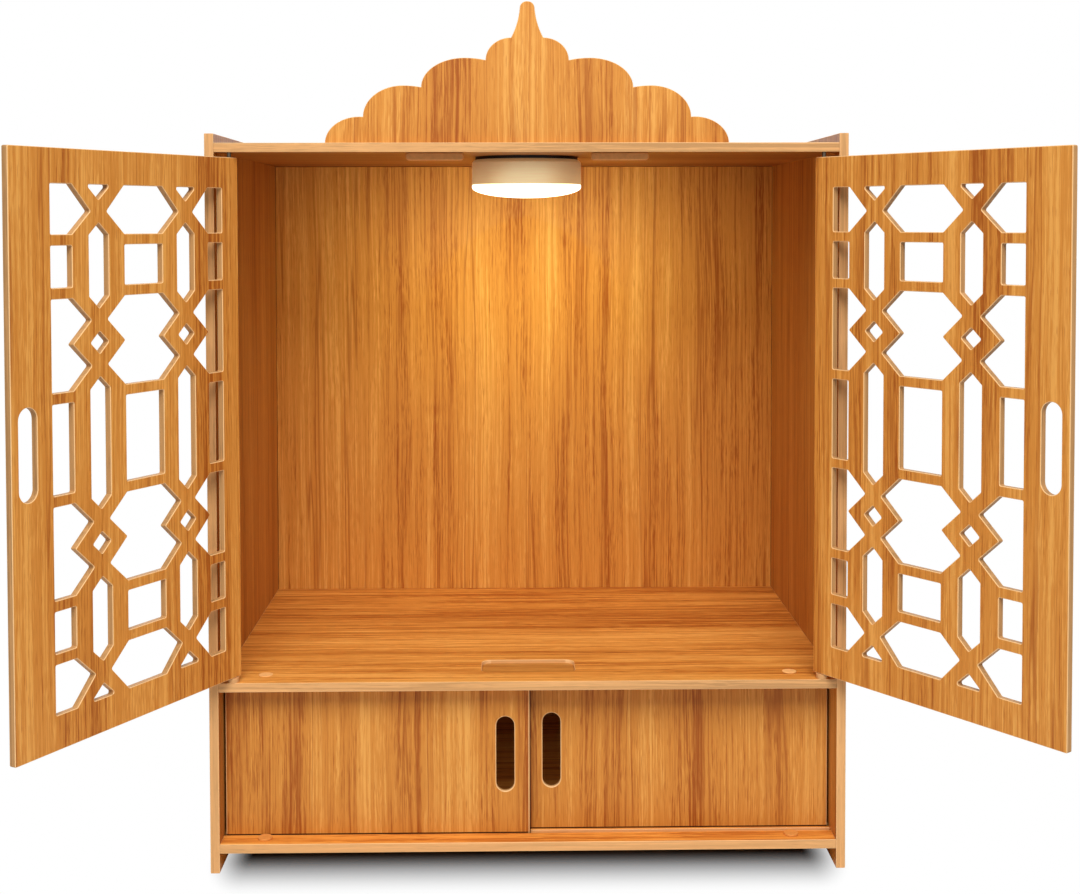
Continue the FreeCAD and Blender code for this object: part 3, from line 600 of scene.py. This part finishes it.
def widest_face_direction(node):
    """Unit normal of the flat faces that hold most of a node's area."""
    sums = {}
    for polygon in node.data.polygons:
        normal = polygon.normal
        if normal.y < 0 or (abs(normal.y) < 1e-6 and normal.x < 0):
            normal = -normal
        key = tuple(round(part, 3) for part in normal)
        sums[key] = sums.get(key, Vector()) + normal * polygon.area
    return max(sums.values(), key=lambda total: total.length).normalized()


def dress(node_name, material):
    """Give a CAD node its material."""
    node = NODES[node_name]
    for slot in node.material_slots:
        slot.material = material
    return node


def soften(node, width, segments=2, harden=True):
    """Round a node's edges a little, so that they catch the light."""
    weld = node.modifiers.new("Join facets", "WELD")
    weld.merge_threshold = SAME_PLACE
    flat = node.modifiers.new("Plain faces", "DECIMATE")
    flat.decimate_type = "DISSOLVE"
    flat.angle_limit = FLAT_ANGLE
    bevel = node.modifiers.new("Arrises", "BEVEL")
    bevel.width = width
    bevel.segments = segments
    bevel.limit_method = "ANGLE"
    bevel.angle_limit = ARRIS_ANGLE
    bevel.use_clamp_overlap = False
    bevel.harden_normals = harden
    return node


def link_piece(name, data):
    """A new object of some data, in the scene."""
    piece = bpy.data.objects.new(name, data)
    bpy.context.scene.collection.objects.link(piece)
    return piece


def marked_outline(name, points, lines, corners):
    """A mesh of lines whose points say by the attribute "corner" if they are to be rounded."""
    mesh = bpy.data.meshes.new(name)
    mesh.from_pydata(points, lines, [])
    marks = mesh.attributes.new("corner", "FLOAT", "POINT")
    marks.data.foreach_set("value", corners)
    return mesh


def flat_outline(node, facing):
    """A pierced board's outlines, flat in its own plane, and the turn that puts them back.

    Points where the outline turns sharply are marked as corners.
    """
    sheet = bmesh.new()
    sheet.from_mesh(node.data)
    bmesh.ops.remove_doubles(sheet, verts=sheet.verts, dist=SAME_PLACE)
    up = Vector((0.0, 0.0, 1.0))
    across = up.cross(facing).normalized()
    depth = max(vertex.co.dot(facing) for vertex in sheet.verts)
    thickness = depth - min(vertex.co.dot(facing) for vertex in sheet.verts)
    near = depth - SAME_PLANE
    front = {
        face for face in sheet.faces
        if face.normal.dot(facing) > SAME_WAY
        and min(vertex.co.dot(facing) for vertex in face.verts) > near
    }
    rims = [edge for edge in sheet.edges if sum(face in front for face in edge.link_faces) == 1]
    order = {}
    points = []
    for edge in rims:
        for vertex in edge.verts:
            if vertex.index not in order:
                order[vertex.index] = len(points)
                points.append(Vector((vertex.co.dot(across), vertex.co.z, 0.0)))
    lines = [tuple(order[vertex.index] for vertex in edge.verts) for edge in rims]
    sheet.free()
    neighbours = [[] for _ in points]
    for first, second in lines:
        neighbours[first].append(points[second])
        neighbours[second].append(points[first])
    corners = []
    for point, (before, after) in zip(points, neighbours):
        turn = (point - before).angle(after - point)
        corners.append(1.0 if turn > SHARP_TURN else 0.0)
    mesh = marked_outline(node.name + "_outline", points, lines, corners)
    back_in_place = Matrix((across, up, facing)).transposed().to_4x4()
    back_in_place.translation = facing * depth
    return mesh, back_in_place, thickness


def pierced_board_tree():
    """Geometry nodes: outlines with rounded corners, filled and given a thickness."""
    tree = bpy.data.node_groups.new("pierced_board", "GeometryNodeTree")
    for name, direction, kind in (
        ("Outline", "INPUT", "NodeSocketGeometry"),
        ("Thickness", "INPUT", "NodeSocketFloat"),
        ("Corner radius", "INPUT", "NodeSocketFloat"),
        ("Material", "INPUT", "NodeSocketMaterial"),
        ("Board", "OUTPUT", "NodeSocketGeometry"),
    ):
        socket = tree.interface.new_socket(name, in_out=direction, socket_type=kind)
        if kind == "NodeSocketFloat":
            socket.subtype = "DISTANCE"
    maker = Nodes(tree)
    given = maker.add("NodeGroupInput").outputs
    put = maker.add("NodeGroupOutput").inputs
    loops = maker.add("GeometryNodeMeshToCurve", {"Mesh": given["Outline"]})
    corner = maker.add("GeometryNodeInputNamedAttribute", {"Name": "corner"}, data_type="FLOAT")
    radius = maker.maths("MULTIPLY", given["Corner radius"], corner.outputs["Attribute"])
    rounded = maker.add(
        "GeometryNodeFilletCurve",
        {"Curve": loops.outputs[0], "Count": FILLET_POINTS, "Radius": radius,
         "Limit Radius": True},
        mode="POLY",
    )
    filled = maker.add("GeometryNodeFillCurve", {"Curve": rounded.outputs[0]}, mode="TRIANGLES")
    back = maker.maths("MULTIPLY", given["Thickness"], -1.0)
    offset = maker.add("ShaderNodeCombineXYZ", {"Z": back})
    sunk = maker.add(
        "GeometryNodeTransform", {"Geometry": filled.outputs[0], "Translation": offset.outputs[0]}
    )
    under = maker.add("GeometryNodeFlipFaces", {"Mesh": sunk.outputs[0]})
    rise = maker.add("ShaderNodeCombineXYZ", {"Z": given["Thickness"]})
    walls = maker.add(
        "GeometryNodeExtrudeMesh",
        {"Mesh": sunk.outputs[0], "Offset": rise.outputs[0], "Individual": False},
    )
    both = maker.add("GeometryNodeJoinGeometry")
    tree.links.new(under.outputs[0], both.inputs[0])
    tree.links.new(walls.outputs[0], both.inputs[0])
    closed = maker.add(
        "GeometryNodeMergeByDistance", {"Geometry": both.outputs[0], "Distance": SAME_PLACE}
    )
    real = maker.add("GeometryNodeRealizeInstances", {"Geometry": closed.outputs[0]})
    done = maker.add(
        "GeometryNodeSetMaterial", {"Geometry": real.outputs[0], "Material": given["Material"]}
    )
    maker.feed(put[0], done.outputs[0])
    return tree


def grow(name, mesh, tree, values):
    """Run a geometry node tree on a mesh and return a plain mesh object of the result."""
    seed = link_piece(name + "_seed", mesh)
    modifier = seed.modifiers.new("Build", "NODES")
    modifier.node_group = tree
    for item in tree.interface.items_tree:
        if item.item_type == "SOCKET" and item.in_out == "INPUT" and item.name in values:
            modifier[item.identifier] = values[item.name]
    graph = bpy.context.evaluated_depsgraph_get()
    result = bpy.data.meshes.new_from_object(seed.evaluated_get(graph))
    bpy.data.objects.remove(seed)
    if not result.polygons:
        raise RuntimeError(name + ": the geometry nodes gave no faces")
    return link_piece(name, result)


def ring(centre, radius, height, corners):
    """The points of a level circle."""
    turns = [2 * math.pi * corner / corners for corner in range(corners)]
    return [
        (centre.x + radius * math.cos(turn), centre.y + radius * math.sin(turn), height)
        for turn in turns
    ]


def ring_faces(first, second, corners):
    """The faces between two rings, which start at these points."""
    faces = []
    for corner in range(corners):
        after = (corner + 1) % corners
        faces.append((first + corner, second + corner, second + after, first + after))
    return faces


def dome_profile(low, high, lip):
    """Radius and height of the diffuser's skin: a short upright lip, then half an ellipse."""
    reach = (high.x - low.x) / 2
    rim = high.z - lip
    profile = [(0.0, high.z), (reach - DOME_EDGE, high.z), (reach, high.z - DOME_EDGE)]
    for step in range(DOME_STEPS + 1):
        turn = math.pi / 2 * step / DOME_STEPS
        profile.append((reach * math.cos(turn), rim - (rim - low.z) * math.sin(turn)))
    return profile


def turned_piece(name, profile, centre, material):
    """A closed round piece from a profile that starts and ends on its axis."""
    points = []
    faces = []
    for radius, height in profile[1:-1]:
        points += ring(centre, radius, height, ROUND_CORNERS)
    top = len(points)
    last = top - ROUND_CORNERS
    for row in range(0, last, ROUND_CORNERS):
        faces += ring_faces(row, row + ROUND_CORNERS, ROUND_CORNERS)
    points += [(centre.x, centre.y, profile[0][1]), (centre.x, centre.y, profile[-1][1])]
    for corner in range(ROUND_CORNERS):
        after = (corner + 1) % ROUND_CORNERS
        faces += [(top, corner, after), (top + 1, last + after, last + corner)]
    mesh = bpy.data.meshes.new(name)
    mesh.from_pydata(points, [], faces)
    mesh.polygons.foreach_set("use_smooth", [True] * len(mesh.polygons))
    mesh.materials.append(material)
    return link_piece(name, mesh)


def light_up_rim(drum, lamp):
    """The diffuser's light on the drum, painted as a glow that is strongest at its lower rim."""
    shader = next(node for node in drum.node_tree.nodes if node.type == "BSDF_PRINCIPLED")
    maker = Nodes(drum.node_tree)
    coordinates = maker.add("ShaderNodeTexCoord").outputs["Object"]
    height = maker.add("ShaderNodeSeparateXYZ", {"Vector": coordinates}).outputs["Z"]
    low, high = (corner[2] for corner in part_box("lamp_body"))
    near_rim = maker.spread(height, low, high, 1.0, lamp.spill_top)
    lit = maker.blend(near_rim, (0.0, 0.0, 0.0), tuple(lamp.spill))
    maker.feed(shader.inputs["Emission Color"], lit)
    shader.inputs["Emission Strength"].default_value = lamp.spill_strength


def soft_light(name, source, target, width, height, watts, tint=(1.0, 1.0, 1.0)):
    """A rectangular lamp that points at a target."""
    data = bpy.data.lights.new(name, "AREA")
    data.shape = "RECTANGLE"
    data.size = width
    data.size_y = height
    data.energy = watts
    data.color = tint
    light = link_piece(name, data)
    light.location = source
    light.rotation_mode = "QUATERNION"
    light.rotation_quaternion = (Vector(target) - Vector(source)).to_track_quat("-Z", "Y")
    return light


def lamp_beam(lamp, source):
    """The lamp's own light, thrown down and back from under the diffuser."""
    beam = soft_light(
        "lamp_beam", source, source + lamp.beam_aim, lamp.beam_width, lamp.beam_breadth,
        lamp.beam, tuple(lamp.glow),
    )
    beam.data.shape = "ELLIPSE"
    beam.data.spread = lamp.beam_spread
    beam.visible_camera = False
    beam.visible_glossy = False


def floor_material(stage):
    """Light meets the whole pale floor. The camera sees only the floor round the base, in a dark
    colour: a painted shadow on top of the real one.
    """
    material = bpy.data.materials.new("floor_pale")
    material.use_nodes = True
    material.node_tree.nodes.clear()
    maker = Nodes(material.node_tree)
    output = maker.add("ShaderNodeOutputMaterial")
    spot = maker.add("ShaderNodeTexCoord").outputs["Object"]
    near, far = (stage.floor_radius * part for part in FLOOR_FADE)
    rim = maker.spread(maker.vectors("LENGTH", spot), near, far, 1.0, 0.0)
    from_base = maker.vectors("ABSOLUTE", maker.vectors("SUBTRACT", spot, stage.base_centre))
    outside = maker.vectors("MAXIMUM", maker.vectors("SUBTRACT", from_base, stage.base_half))
    away = maker.vectors("LENGTH", maker.vectors("MULTIPLY", outside, stage.side_falloff))
    painted_shadow_zone = maker.spread(away, 0.0, 2 * stage.shadow_reach, 1.0, 0.0)
    path = maker.add("ShaderNodeLightPath")
    unseen = maker.maths("SUBTRACT", 1.0, path.outputs["Is Camera Ray"])
    fade = maker.maths("MULTIPLY", rim, maker.maths("MAXIMUM", painted_shadow_zone, unseen))
    # Camera rays see the dark shade colour, a painted shadow; light sees the pale floor.
    ground = maker.blend(unseen, tuple(stage.shade), tuple(stage.floor))
    plain = maker.add("ShaderNodeBsdfDiffuse", {"Color": ground})
    clear = maker.add("ShaderNodeBsdfTransparent")
    mixed = maker.add("ShaderNodeMixShader", {0: fade, 1: clear.outputs[0], 2: plain.outputs[0]})
    maker.feed(output.inputs["Surface"], mixed.outputs[0])
    return material


def stage_floor(stage):
    """A round pale floor that fades out at its rim."""
    centre = Vector((0.0, 0.0, 0.0))
    points = [tuple(centre)]
    for row in range(1, FLOOR_RINGS + 1):
        points += ring(centre, stage.floor_radius * row / FLOOR_RINGS, 0.0, FLOOR_CORNERS)
    faces = [(0, 1 + corner, 1 + (corner + 1) % FLOOR_CORNERS) for corner in range(FLOOR_CORNERS)]
    for row in range(FLOOR_RINGS - 1):
        inner = 1 + row * FLOOR_CORNERS
        faces += ring_faces(inner, inner + FLOOR_CORNERS, FLOOR_CORNERS)
    mesh = bpy.data.meshes.new("floor")
    mesh.from_pydata(points, [], faces)
    mesh.materials.append(floor_material(stage))
    floor = link_piece("floor", mesh)


def stage_world(stage):
    """Even soft light, and a white background for the camera and for gloss."""
    world = bpy.data.worlds.new("studio")
    world.use_nodes = True
    world.node_tree.nodes.clear()
    maker = Nodes(world.node_tree)
    output = maker.add("ShaderNodeOutputWorld")
    path = maker.add("ShaderNodeLightPath").outputs
    gloss = maker.maths("MAXIMUM", path["Is Glossy Ray"], path["Is Transmission Ray"])
    seen = maker.maths("MAXIMUM", path["Is Camera Ray"], gloss)
    level = maker.add(
        "ShaderNodeMapRange", {"Value": seen, "To Min": stage.sky, "To Max": 1.0}
    ).outputs["Result"]
    light = maker.add("ShaderNodeBackground", {"Color": (1.0, 1.0, 1.0), "Strength": level})
    maker.feed(output.inputs["Surface"], light.outputs[0])
    bpy.context.scene.world = world


def stage_camera(stage):
    """The camera at the picture's place, with its lens and its shift."""
    data = bpy.data.cameras.new("camera")
    data.sensor_fit = "HORIZONTAL"
    data.sensor_width = SENSOR_WIDTH
    data.lens = FOCAL_PIXELS / PICTURE_WIDTH * SENSOR_WIDTH
    data.shift_x = (PICTURE_WIDTH / 2 - CENTRE_COLUMN) / PICTURE_WIDTH
    data.shift_y = (CENTRE_ROW - PICTURE_HEIGHT / 2) / PICTURE_WIDTH
    camera = link_piece("camera", data)
    pitch, yaw, roll = stage.pitch, stage.yaw, stage.roll
    forward = Vector((math.sin(yaw), math.cos(yaw), 0.0)) * math.cos(pitch)
    ahead = forward - Vector((0.0, 0.0, math.sin(pitch)))
    level = Vector((math.cos(yaw), -math.sin(yaw), 0.0))
    above = level.cross(ahead)
    right = level * math.cos(roll) - above * math.sin(roll)
    up = above * math.cos(roll) + level * math.sin(roll)
    turn = Matrix((right, up, -ahead)).transposed()
    camera.matrix_world = Matrix.Translation(stage.camera_place) @ turn.to_4x4()
    bpy.context.scene.camera = camera


class MANDIR_OT_stage(bpy.types.Operator):
    """Make the floor, the soft light and the camera"""

    bl_idname = "mandir.stage"
    bl_label = "Stage"

    def execute(self, context):
        stage = context.scene.mandir_stage
        context.scene.view_settings.view_transform = "Standard"
        stage_camera(stage)
        stage_floor(stage)
        stage_world(stage)
        right = stage.key_place
        left = Vector((-right.x, right.y, right.z))
        for name, source, watts in (
            ("key_left", left, stage.key_power),
            ("key_right", right, stage.key_power),
            ("fill_back", stage.back_place, stage.back_power),
        ):
            soft_light(name, source, stage.target, stage.light_width, stage.light_height, watts)
        inside = stage.space_place
        fill = soft_light(
            "storage_fill", inside, inside + stage.space_aim, stage.space_width,
            stage.space_height, stage.space_power,
        )
        fill.visible_camera = False
        return {"FINISHED"}


class MANDIR_OT_carcass(bpy.types.Operator):
    """Finish the side panels, the back and the three level boards"""

    bl_idname = "mandir.carcass"
    bl_label = "Carcass boards"

    def execute(self, context):
        teak = context.scene.mandir_teak
        for name, lay, shift, contrast, shade, joint_and_shade_rim in CARCASS:
            material = board_material(
                name + "_teak", lay, shift, contrast=contrast, shade=shade, joint_and_shade_rim=joint_and_shade_rim
            )
            soften(dress(name, material), teak.arris_width)
        return {"FINISHED"}


class MANDIR_OT_crown(bpy.types.Operator):
    """Finish the scalloped crown board"""

    bl_idname = "mandir.crown"
    bl_label = "Crown"

    def execute(self, context):
        teak = context.scene.mandir_teak
        material = board_material(
            "crown_teak", FACING_FRONT, (0.42, 0.9, 0.35), edge="core", contrast=1.1
        )
        soften(dress("crown_board", material), teak.arris_width)
        return {"FINISHED"}


class MANDIR_OT_lattice_doors(bpy.types.Operator):
    """Cut the two pierced doors from their outlines, with rounded corners, and finish them"""

    bl_idname = "mandir.lattice_doors"
    bl_label = "Lattice doors"

    def execute(self, context):
        teak = context.scene.mandir_teak
        tree = pierced_board_tree()
        for side, shift in (("left", (0.1, 0.3, 0.2)), ("right", (0.8, 0.6, 0.5))):
            name = "lattice_door_" + side
            facing = widest_face_direction(NODES[name])
            turn = (0.0, 0.0, math.pi / 2 - math.atan2(facing.y, facing.x))
            material = board_material(
                f"{side}_door_teak", (tuple(facing), turn), shift, edge="core", contrast=1.15
            )
            outline, back_in_place, thickness = flat_outline(NODES[name], facing)
            door = grow(side + "_pierced_door", outline, tree, {
                "Thickness": thickness, "Corner radius": teak.hole_corner, "Material": material,
            })
            door.data.transform(back_in_place)
            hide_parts(name)
            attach(door, side + "_lattice_door")
            soften(door, teak.arris_width, harden=False)
        return {"FINISHED"}


class MANDIR_OT_recess_shade_sheet(bpy.types.Operator):
    """Lay a thin darker sheet on the floor of the shelf's recess, a painted shade"""

    bl_idname = "mandir.recess_inlay"
    bl_label = "Recess shade sheet"

    def execute(self, context):
        recess = context.scene.mandir_recess
        low, high = (Vector(corner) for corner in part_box("shelf_board"))
        side = recess.width / 2 - recess.play
        front = low.y + recess.setback + recess.play
        rear = low.y + recess.setback + recess.breadth - recess.play
        points = [(-side, front, 0.0), (side, front, 0.0), (side, rear, 0.0), (-side, rear, 0.0)]
        lines = [(0, 1), (1, 2), (2, 3), (3, 0)]
        outline = marked_outline("recess_outline", points, lines, [1.0] * len(points))
        # The sheet is painted shade: darker teak with a dark rim, where the recess's floor lies in
        # shade.
        material = board_material(
            "recess_inlay_teak", LYING_LEVEL, (0.4, 0.9, 0.5), edge="core", shade=0.80, joint_and_shade_rim=True
        )
        shade_sheet = grow("recess_inlay", outline, pierced_board_tree(), {
            "Thickness": recess.sheet, "Corner radius": recess.corner - recess.play,
            "Material": material,
        })
        lift = high.z - recess.depth + recess.sheet
        shade_sheet.data.transform(Matrix.Translation((0.0, 0.0, lift)))
        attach(shade_sheet, "cabinet")
        return {"FINISHED"}


class MANDIR_OT_sliding_doors(bpy.types.Operator):
    """Finish the two sliding doors of the storage space"""

    bl_idname = "mandir.sliding_doors"
    bl_label = "Sliding doors"

    def execute(self, context):
        teak = context.scene.mandir_teak
        floor_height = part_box("bottom_board")[1][2]
        meeting_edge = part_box("sliding_door_left")[1][0]
        # The groove line is a painted shadow at the sliders' foot. The meeting edge has a painted
        # shadow line with a painted highlight beside it. shade 0.92 is a painted shade, a little
        # darker.
        groove = ("Z", floor_height, 1.0, 0.0)
        for side, shift, shaded_gaps in (
            ("left", (0.55, 0.2, 0.9), (groove, ("X", meeting_edge, -1.0, 0.55))),
            ("right", (1.35, 0.8, 0.15), (groove,)),
        ):
            material = board_material(
                f"{side}_slider_teak", FACING_FRONT, shift, edge="core", contrast=1.1,
                shade=0.92, shaded_gaps=shaded_gaps,
            )
            soften(dress("sliding_door_" + side, material), teak.slot_rim_width)
        return {"FINISHED"}


class MANDIR_OT_fittings(bpy.types.Operator):
    """Finish the pivot pins, spacers, covers and door catches"""

    bl_idname = "mandir.fittings"
    bl_label = "Fittings"

    def execute(self, context):
        fittings = context.scene.mandir_fittings
        steel = metal_material("pin_steel_turned", tuple(fittings.pin), roughness=0.30)
        washer = moulded_material("washer_moulded", tuple(fittings.washer), roughness=0.5)
        cream = moulded_material("cream_moulded", tuple(fittings.cream), roughness=0.45)
        brown = moulded_material("brown_moulded", tuple(fittings.brown), roughness=0.45)
        catch = moulded_material("catch_moulded", tuple(fittings.catch), roughness=0.5)
        for side in ("left", "right"):
            soften(dress(f"door_catch_{side}", catch), fittings.catch_arris, segments=3)
            dress(f"pivot_washer_{side}", washer)
            for end in ("lower", "upper"):
                dress(f"pivot_pin_{side}_{end}", steel)
            soften(dress(f"shelf_cover_{side}", cream), fittings.cover_arris)
            soften(dress(f"bottom_cover_{side}", brown), fittings.cover_arris)
        return {"FINISHED"}


class MANDIR_OT_lamp(bpy.types.Operator):
    """Finish the lamp's plate and drum, and light its diffuser"""

    bl_idname = "mandir.lamp"
    bl_label = "Lamp"

    def execute(self, context):
        lamp = context.scene.mandir_lamp
        plate = moulded_material("plate_painted", tuple(lamp.plate), roughness=0.5)
        dress("lamp_mount_plate", plate)
        drum = metal_material("drum_champagne", tuple(lamp.drum), roughness=0.42, metallic=0.35)
        light_up_rim(drum, lamp)
        soften(dress("lamp_body", drum), lamp.drum_arris, segments=3)
        material = opal_material(lamp)
        dress("lamp_diffuser", material)
        low, high = (Vector(corner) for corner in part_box("lamp_diffuser"))
        middle = (low + high) / 2
        opal_dome = turned_piece("opal_dome", dome_profile(low, high, lamp.lip), middle, material)
        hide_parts("lamp_diffuser")
        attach(opal_dome, "cabinet")
        lamp_beam(lamp, Vector((middle.x, middle.y, low.z - lamp.beam_drop)))
        return {"FINISHED"}


class MANDIR_PT_panel(bpy.types.Panel):
    """The mandir's sizes, colours and steps"""

    bl_idname = "MANDIR_PT_panel"
    bl_label = "Pooja Mandir"
    bl_space_type = "VIEW_3D"
    bl_region_type = "UI"
    bl_category = "Mandir"

    def draw(self, context):
        layout = self.layout
        for title, settings in (
            ("Teak", context.scene.mandir_teak),
            ("Fittings", context.scene.mandir_fittings),
            ("Recess", context.scene.mandir_recess),
            ("Lamp", context.scene.mandir_lamp),
            ("Stage", context.scene.mandir_stage),
        ):
            box = layout.box()
            box.label(text=title)
            for name in settings.__annotations__:
                box.prop(settings, name)
        for operator in OPERATORS:
            layout.operator(operator.bl_idname)


SETTINGS = {
    "mandir_teak": TeakSettings,
    "mandir_fittings": FittingSettings,
    "mandir_recess": RecessSettings,
    "mandir_lamp": LampSettings,
    "mandir_stage": StageSettings,
}
OPERATORS = (
    MANDIR_OT_stage,
    MANDIR_OT_carcass,
    MANDIR_OT_crown,
    MANDIR_OT_lattice_doors,
    MANDIR_OT_recess_shade_sheet,
    MANDIR_OT_sliding_doors,
    MANDIR_OT_fittings,
    MANDIR_OT_lamp,
)


def register():
    for settings in SETTINGS.values():
        bpy.utils.register_class(settings)
    for name, settings in SETTINGS.items():
        setattr(bpy.types.Scene, name, PointerProperty(type=settings))
    for operator in OPERATORS:
        bpy.utils.register_class(operator)
    bpy.utils.register_class(MANDIR_PT_panel)


def unregister():
    bpy.utils.unregister_class(MANDIR_PT_panel)
    for operator in reversed(OPERATORS):
        bpy.utils.unregister_class(operator)
    for name in SETTINGS:
        delattr(bpy.types.Scene, name)
    for settings in reversed(SETTINGS.values()):
        bpy.utils.unregister_class(settings)


def main():
    register()
    bpy.ops.mandir.stage()
    bpy.ops.mandir.carcass()
    bpy.ops.mandir.crown()
    bpy.ops.mandir.lattice_doors()
    bpy.ops.mandir.recess_inlay()
    bpy.ops.mandir.sliding_doors()
    bpy.ops.mandir.fittings()
    bpy.ops.mandir.lamp()


if __name__ == "__main__":
    main()
